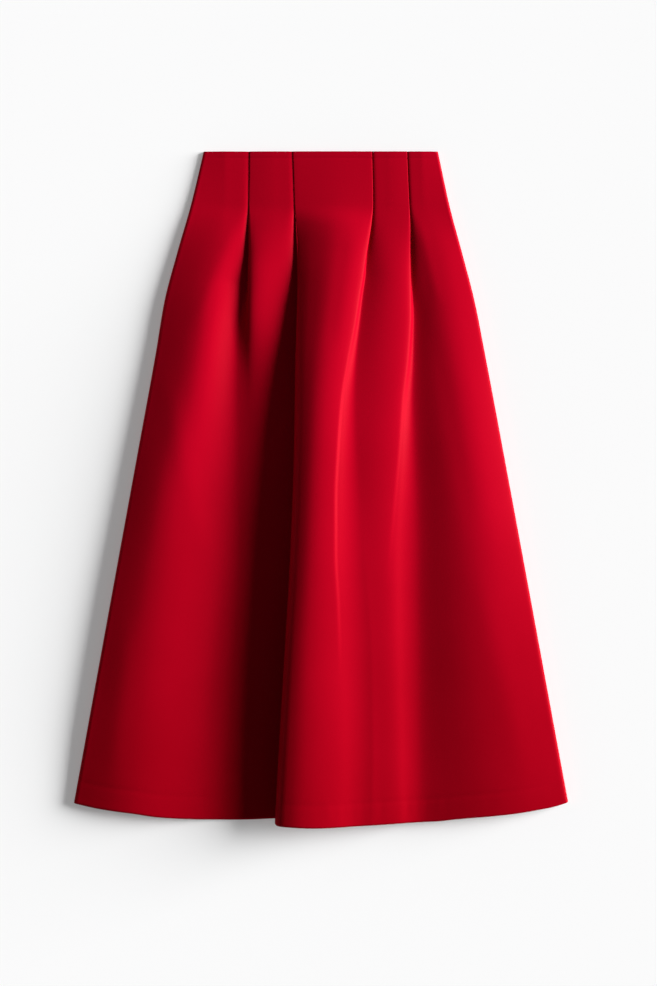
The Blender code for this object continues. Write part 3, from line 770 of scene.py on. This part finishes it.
def frontRelief(x, real, toHem):
    # marks, crisp lines and turned edges, in millimetres out of the cloth
    detail = frontDetail
    toRight = smooth((x - detail["hemRightFrom"]) / detail["hemRightLength"])
    strength = detail["hemLeftShare"] + (1.0 - detail["hemLeftShare"]) * toRight
    relief = creaseRelief(x, real) + crispRelief(x, real) + dipRelief(x, real)
    relief -= detail["hemGroove"] * strength * bell((toHem - cut["hemTurn"]) / detail["hemGrooveWidth"])
    often, bend, slow = detail["wander"]
    share, quick, shift = detail["ripple"]
    wander = np.sin(x * often + bend * np.sin(x * slow)) + share * np.sin(x * quick + shift)
    pucker = bell((toHem - detail["puckerFrom"]) / detail["puckerReach"])
    relief += detail["hemPucker"] * wander * pucker * strength
    return relief - detail["waistGroove"] * bell((real - cut["waistTurn"]) / detail["waistGrooveWidth"])


def makeFront(material):
    # the folds' section at each station, each column run down to its own length
    down = rowsDown(front["rows"], cut["length"] - np.array(front["hemRows"]))
    x, z, settle = frontSection(down)
    settleIn(x, z, settle, down)
    lastColumn = x.shape[1] - 1.0
    x, z = finerAcross(x, z, front["finer"])
    number = np.arange(x.shape[1]) / front["finer"]
    step = smooth((number - front["hemStepFirst"]) / front["hemStepColumns"])
    left = readTable(cut["hemLeftRows"], cut["hem"], "down", x[-1])
    right = readTable(cut["hemRightRows"], cut["hem"], "down", x[-1])
    length = left + (right - left) * step + cut["hemEase"]
    y, real = runDown(x, down, length)
    toHem = length[None, :] - real
    # the relief keeps off the side folds and the tucked layers
    detail = frontDetail
    inside = smooth(number / detail["edgeColumns"]) * smooth((lastColumn - number) / detail["edgeColumns"])
    free = smooth(np.abs(z - detail["layerHeight"]) / detail["layerFade"])
    upper = smooth((z - detail["upperHeight"]) / detail["upperFade"])
    below = smooth((real - detail["stitchedEnd"]) / detail["stitchedFade"])
    keep = inside[None, :] * (free * below + upper * (1.0 - below))
    fold = detail["hemDrop"] * np.clip(1.0 - toHem / detail["hemRound"], 0.0, 1.0) ** 2
    out = frontRelief(x, real, toHem) * keep - fold * inside[None, :]
    points = np.stack([x, y, z], axis=2)
    points = points + pointNormals(points) * out[:, :, None]
    half = 0.5 * cut["wall"]
    return clothShell("front_cloth", points, half, half + hemLayer(toHem), (0, -1), material)


back = {
    "shorter": 5.0,         # how much higher than the front's hem its own hem lies
    "levelAt": -60.0,       # where its hem turns level
    "cornerWidth": 26.0,
    "raise": 2.45,          # how far it stands up over the zip pull
    "raiseHalf": 24.0,
    "raiseSide": 13.0,
    "raiseLength": 66.0,
    "raiseEnd": 22.0,
    "seamHalf": 0.03,       # half the gap where the two back panels meet
    "seamTurn": 11.0,       # width of the seam's cloth pressed open inside, below the zip
    "seamStep": 1.5,
    "seamFrom": 212.0,
    "seamFade": 6.0,
    "stitchDraw": 0.14,     # how far the blind stitching draws the cloth in
    "turnClear": 6.0,       # the turned hem starts this far from the side
    "hemDrawWidth": 2.4,
    "waistDrawWidth": 1.6,
    "notchHalf": 1.5,
    "notchLength": 16.0,
    "sliderDown": 13.0,
    "rows": ((0.0, 66.0, 45), (66.0, 820.0, 66), (820.0, 870.0, 25)),
    "columns": 46,          # from the side to the stops, closer at the side
    "crowding": 1.15,
    "columnsEnd": 26.0,
    "stops": (24.0, 20.0, 16.0, 13.0, 11.0, 10.2, 9.4, 7.5, 5.5, 3.5, 2.0),
    # faint ridges inside: how far from the middle, how they spread, how wide, how high
    "ridges": ((60.0, 0.10, 9.0, 0.9), (118.0, 0.16, 11.0, 0.72)),
    "ridgeSide": (30.0, 20.0),
    "ridgeMiddle": (26.0, 12.0),
    "ridgeDown": (150.0, 200.0),
}


def backRaise(x, down):
    # the back stands up a little over the zip pull
    across = smooth((back["raiseHalf"] - np.abs(x)) / back["raiseSide"])
    return back["raise"] * across * smooth((back["raiseLength"] - down) / back["raiseEnd"])


def zipSeamHalf(down):
    # half the gap in the zip seam, wider only where the slider goes through
    fromSlider = np.abs(down - back["sliderDown"]) / (0.5 * back["notchLength"])
    spread = np.clip(3.0 - 3.0 * fromSlider, 0.0, 1.0)
    return back["seamHalf"] + (back["notchHalf"] - back["seamHalf"]) * spread


def backLength(rows, x, edge):
    # a little shorter than the front and level in the middle, but not at the corner
    length = readTable(rows, cut["hem"], "down", x) - back["shorter"]
    level = readTable(cut["hemLeftRows"], cut["hem"], "down", back["levelAt"]) - back["shorter"]
    corner = np.clip(1.0 - (edge - np.abs(x)) / back["cornerWidth"], 0.0, 1.0)
    return np.minimum(length, level) + back["shorter"] * corner


def ridgeRelief(fromMiddle, fromSide, real):
    # bells down the cloth, spreading as it widens, faded out at its edges
    total = 0.0 * fromMiddle
    for start, spread, width, height in back["ridges"]:
        total += height * bell((fromMiddle - start - spread * real) / width)
    fade = 1.0
    for key, way in (("ridgeSide", fromSide), ("ridgeMiddle", fromMiddle), ("ridgeDown", real)):
        start, length = back[key]
        fade = fade * smooth((way - start) / length)
    return total * fade


def makeBack(name, side, material):
    # flat from the side seam to the zip seam, but for the little rise over the pull
    down = rowsDown(back["rows"], [cut["length"]])
    sideName = "left" if side < 0.0 else "right"
    half = 0.5 * cut["wall"]
    edge = readTable(cut["outlineRows"], cut["outline"], sideName, down) + half
    shares = np.linspace(0.0, 1.0, back["columns"]) ** back["crowding"]
    wide = edge[:, None] + (back["columnsEnd"] - edge[:, None]) * shares[None, :]
    stops = np.array(back["stops"])[None, :] + 0.0 * edge[:, None]
    x = side * np.concatenate([wide, stops, zipSeamHalf(down)[:, None]], axis=1)
    rows = cut["hemLeftRows"] if side < 0.0 else cut["hemRightRows"]
    length = backLength(rows, x[-1], edge[-1])
    y, real = runDown(x, down, length)
    # off the surface only, so the underside stays on it
    z = half + backRaise(x, down[:, None]) + ridgeRelief(np.abs(x), edge[:, None] - np.abs(x), real)
    if side > 0.0:
        x, y, z = x[:, ::-1], y[:, ::-1], z[:, ::-1]
    toHem = length[None, :] - real
    fromSide = edge[:, None] - np.abs(x)
    turned = hemLayer(toHem) * smooth((fromSide - back["turnClear"]) / back["turnClear"])
    opened = smooth((back["seamTurn"] - np.abs(x)) / back["seamStep"])
    opened = opened * smooth((real - back["seamFrom"]) / back["seamFade"])
    over = half + np.maximum(turned, cut["hemLayer"] * opened)
    # the blind stitching of the hem and of the waist edge draws the cloth in
    drawn = bell((toHem - cut["hemTurn"]) / back["hemDrawWidth"])
    drawn = drawn + bell((real - cut["waistTurn"]) / back["waistDrawWidth"])
    under = half - back["stitchDraw"] * drawn
    return clothShell(name, np.stack([x, y, z], axis=2), over, under, (), material)


zipper = {
    "topDown": 4.0,
    "length": 205.0,
    "tapeWidth": 10.0,
    "tapeWall": 0.5,
    "tapeLift": 1.5,        # from the back's underside to the middle of the tape
    "rows": ((4.0, 66.0, 60), (66.0, 209.0, 59)),
    "columns": 13,
    "coilRadius": 0.4,
    "coilPitch": 0.9,
    "coilThread": 0.14,
    "coilInset": 0.6,
    "coilEnds": 3.0,        # bare tape above and below the coil
    "turnSteps": 12,
    "threadSteps": 6,
    "edgeRound": 0.2,
    "hardFrom": 25.0,       # degrees between two faces whose edge is rounded
    "edgeShows": 35.0,
    "flatTo": 1.0,          # faces nearer to one plane than this are joined first
    "tapeDeep": (0.20, 0.0004, 0.005, 1.0),
    "tapePlain": (0.33, 0.001, 0.010, 1.0),
    "tapeFixed": {"Specular IOR Level": 0.1},
    "tapeRoughness": 0.68,
    "tapeCloud": 60.0,
    "tapeCloudShare": 0.4,
    "tapeMiddle": 0.3,      # where between its two colours the tape lies
    "roughSpread": 0.2,
    "ribTurn": 15.7,
    "ribShare": 0.3,
    "ribStrength": 0.6,
    "ribHeight": 0.00008,
    "paintDeep": (0.23, 0.0008, 0.007, 1.0),
    "paintPlain": (0.36, 0.0016, 0.013, 1.0),
    "coilFixed": {"Specular IOR Level": 0.4},
    "coilRoughness": 0.4,
    "coilGrain": 3000.0,
    "paintFixed": {"Specular IOR Level": 0.5},
    "paintRoughness": 0.32,
    "paintGrain": 1500.0,
    "paintCloud": 160.0,
    "grainStrength": 0.3,
    "grainHeight": 0.00003,
}


def tapeMaterial(name):
    # narrow woven tape: slanting ribs that turn at each millimetre across
    material, start, shader = blankMaterial(name, zipper["tapeFixed"])
    flat = start.make("ShaderNodeUVMap", {"uv_map": "cloth"}, {})
    across = flat.part("X") * 1000.0
    along = flat.part("Y") * 1000.0
    zigzag = start.make("ShaderNodeMath", {"operation": "PINGPONG"}, {0: across, 1: 1.0})
    ribs = ((zigzag + along) * zipper["ribTurn"]).sine()
    cloud = start.noise(flat, zipper["tapeCloud"], 2.0)
    factor = ribs * zipper["ribShare"] + zipper["tapeCloudShare"] * cloud + zipper["tapeMiddle"]
    joinWires(shader, {
        "Base Color": start.mix(factor, zipper["tapeDeep"], zipper["tapePlain"]),
        "Roughness": zipper["tapeRoughness"] + zipper["roughSpread"] * (cloud - 0.5),
        "Normal": ribs.relief(zipper["ribStrength"], zipper["ribHeight"]),
    })
    return material


def paintMaterial(name, fixed, roughness, grain):
    # even colour with a slight cloud and a fine grain in its gloss
    material, start, shader = blankMaterial(name, fixed)
    place = start.make("ShaderNodeTexCoord", {}, {}, "Object")
    cloud = start.noise(place, zipper["paintCloud"], 3.0)
    fine = start.noise(place, grain, 2.0)
    joinWires(shader, {
        "Base Color": start.mix(cloud, zipper["paintDeep"], zipper["paintPlain"]),
        "Roughness": roughness + zipper["roughSpread"] * (fine - 0.5),
        "Normal": fine.relief(zipper["grainStrength"], zipper["grainHeight"]),
    })
    return material


def makeTape(name, side, material):
    # a flat strip on the back's inner face, one edge along the zip seam
    down = rowsDown(zipper["rows"], [zipper["topDown"] + zipper["length"]])
    inner = zipSeamHalf(down)[:, None]
    outer = inner[-1] + zipper["tapeWidth"]
    x = side * (inner + (outer - inner) * np.linspace(0.0, 1.0, zipper["columns"])[None, :])
    y = cut["waistY"] - down[:, None] + 0.0 * x
    z = zipper["tapeLift"] + backRaise(x, down[:, None])
    if side > 0.0:
        x, z = x[:, ::-1], z[:, ::-1]
    half = 0.5 * zipper["tapeWall"]
    return clothShell(name, np.stack([x, y, z], axis=2), half, half, (), material)


def makeCoil(name, side, material):
    # a thread wound round a line beside the seam: a small ring carried along a helix
    length = zipper["length"] - 2.0 * zipper["coilEnds"]
    turns = length / zipper["coilPitch"]
    angle = np.linspace(0.0, 2.0 * np.pi * turns, int(turns * zipper["turnSteps"]) + 1)
    down = zipper["topDown"] + zipper["coilEnds"] + length * angle / angle[-1]
    middleX = zipSeamHalf(down) + zipper["coilInset"]
    top = zipper["tapeLift"] + 0.5 * zipper["tapeWall"] + backRaise(middleX, down)
    middleZ = top + zipper["coilRadius"] + zipper["coilThread"]
    out = np.stack([side * np.cos(angle), 0.0 * angle, np.sin(angle)], axis=1)
    middle = np.stack([side * middleX, cut["waistY"] - down, middleZ], axis=1)
    middle = middle + zipper["coilRadius"] * out
    steps = zipper["threadSteps"]
    turn = np.arange(steps) * 2.0 * np.pi / steps
    ring = zipper["coilThread"] * np.cos(turn)[None, :, None] * out[:, None, :]
    ring = ring + zipper["coilThread"] * np.sin(turn)[None, :, None] * np.array([0.0, 1.0, 0.0])
    points = (middle[:, None, :] + ring).reshape(-1, 3)
    number = np.arange(len(angle) * steps).reshape(len(angle), steps)
    after = np.roll(number, -1, axis=1)
    quads = np.stack([number[:-1], after[:-1], after[1:], number[1:]], axis=2).reshape(-1, 4)
    first, end = number[0], number[-1]
    caps = np.array([first[[3, 2, 1, 0]], first[[5, 4, 3, 0]], end[[0, 1, 2, 3]], end[[0, 3, 4, 5]]])
    faces = np.concatenate([quads, caps])
    if side < 0.0:
        faces = faces[:, ::-1]
    return addMesh(name, points, faces, material)


def roundedCopy(name, node, material):
    # the node's own shape with its hard edges taken off
    shape = bmesh.new()
    shape.from_mesh(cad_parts[node].data)
    bmesh.ops.remove_doubles(shape, verts=shape.verts, dist=1e-6)
    flat = np.radians(zipper["flatTo"])
    bmesh.ops.dissolve_limit(shape, angle_limit=flat, verts=shape.verts, edges=shape.edges)
    least = np.radians(zipper["hardFrom"])
    hard = [edge for edge in shape.edges if edge.is_manifold and edge.calc_face_angle() > least]
    bmesh.ops.bevel(
        shape, geom=hard, offset=zipper["edgeRound"] * mm, segments=3, profile=0.5,
        affect="EDGES", clamp_overlap=True,
    )
    mesh = bpy.data.meshes.new(name)
    shape.to_mesh(mesh)
    shape.free()
    mesh.shade_smooth()
    mesh.set_sharp_from_angle(angle=np.radians(zipper["edgeShows"]))
    mesh.materials.clear()
    mesh.materials.append(material)
    piece = bpy.data.objects.new(name, mesh)
    bpy.context.scene.collection.objects.link(piece)
    return piece


satinFront = satinMaterial("satin_front", 0.0)
satinBackLeft = satinMaterial("satin_back_left", 1.3)
satinBackRight = satinMaterial("satin_back_right", 2.1)

frontCloth = makeFront(satinFront)
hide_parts("front_panel")
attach(frontCloth, "skirt")
print("front made")

backLeft = makeBack("back_cloth_left", -1.0, satinBackLeft)
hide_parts("back_panel_left")
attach(backLeft, "skirt")
backRight = makeBack("back_cloth_right", 1.0, satinBackRight)
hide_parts("back_panel_right")
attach(backRight, "skirt")
print("back made")

coilPaint = paintMaterial("coil_nylon", zipper["coilFixed"], zipper["coilRoughness"], zipper["coilGrain"])
for word, side in (("left", -1.0), ("right", 1.0)):
    tape = makeTape("tape_" + word, side, tapeMaterial("tape_weave_" + word))
    coil = makeCoil("coil_" + word, side, coilPaint)
    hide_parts("zip_tape_" + word)
    for piece in (tape, coil):
        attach(piece, "skirt")
for name, node, slot, body in (
    ("slider", "zip_slider", "slider_paint", "skirt"),
    ("pull", "zip_pull_tab", "tab_paint", "pull_tab"),
):
    gloss = (zipper["paintFixed"], zipper["paintRoughness"], zipper["paintGrain"])
    enamel = paintMaterial(name + "_enamel", *gloss)
    piece = roundedCopy(name, node, enamel)
    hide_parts(node)
    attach(piece, body)
print("zip made")


studio = {
    "sunTurn": (74.3, 14.0),    # degrees from straight above, and towards the waist
    "sunWidth": 34.0,       # how many degrees of the room it fills
    "sunStrength": 10.5,
    "fill": 0.10,           # the dim room above, and its pale foot
    "horizon": 0.93,
    "paleFrom": 0.10,       # sine of the height to which the room is pale
    "paleTo": 0.28,
    "floorFixed": {         # a sheet of milk glass that glows a little: painted light that lifts the shadows cast on it
        "Specular IOR Level": 0.0,
        "Roughness": 0.9,
        "Emission Color": (1.0, 1.0, 1.0, 1.0),
        # painted light: the floor's own glow lightens the shadows cast on it
        "Emission Strength": 0.212,
    },
    "floorHalf": 30000.0,
    "floorUnder": 0.2,
    "floorDeep": (0.722, 0.723, 0.725, 1.0),
    "floorPlain": (0.729, 0.729, 0.730, 1.0),
    "eyeHeight": 2.5,
    "eyeX": 0.00975,
    "eyeY": -0.0070,
    "lens": 70.33,
}


def makeFloor():
    # a plain pale surface just under the skirt
    size, under = studio["floorHalf"], -studio["floorUnder"]
    corners = [(-size, -size, under), (size, -size, under), (size, size, under), (-size, size, under)]
    material, start, shader = blankMaterial("pale_floor", studio["floorFixed"])
    place = start.make("ShaderNodeTexCoord", {}, {}, "Object")
    colour = start.mix(start.noise(place, 2.0, 2.0), studio["floorDeep"], studio["floorPlain"])
    joinWires(shader, {"Base Color": colour})
    return addMesh("floor", corners, [(0, 1, 2, 3)], material)


def makeSun():
    # one wide window to the right, low over the surface
    sun = bpy.data.lights.new("window", "SUN")
    sun.energy = studio["sunStrength"]
    sun.angle = np.radians(studio["sunWidth"])
    lamp = bpy.data.objects.new("window", sun)
    tilt, turn = np.radians(studio["sunTurn"])
    lamp.rotation_euler = (0.0, tilt, turn)
    bpy.context.scene.collection.objects.link(lamp)


def makeRoom():
    # a dim white room, as pale as the floor along its skirting
    world = bpy.data.worlds.new("studio")
    world.use_nodes = True
    start = Wire(world.node_tree)
    height = start.make("ShaderNodeTexCoord", {}, {}, "Generated").part("Z")
    span = {"From Min": studio["paleFrom"], "From Max": studio["paleTo"], "To Min": 1.0, "To Max": 0.0}
    smoothly = {"interpolation_type": "SMOOTHSTEP"}
    low = start.make("ShaderNodeMapRange", smoothly, {"Value": height, **span}, "Result")
    shader = world.node_tree.nodes["Background"]
    shader.inputs["Color"].default_value = (1.0, 1.0, 1.0, 1.0)
    joinWires(shader, {"Strength": studio["fill"] + low * (studio["horizon"] - studio["fill"])})
    bpy.context.scene.world = world
    bpy.context.scene.view_settings.view_transform = "Standard"


def makeEye():
    # straight above the skirt, looking down
    camera = bpy.data.cameras.new("eye")
    camera.lens = studio["lens"]
    camera.clip_end = 20.0
    eye = bpy.data.objects.new("eye", camera)
    eye.location = (studio["eyeX"], studio["eyeY"], studio["eyeHeight"])
    bpy.context.scene.collection.objects.link(eye)
    bpy.context.scene.camera = eye


makeFloor()
makeSun()
makeRoom()
makeEye()
print("studio made")
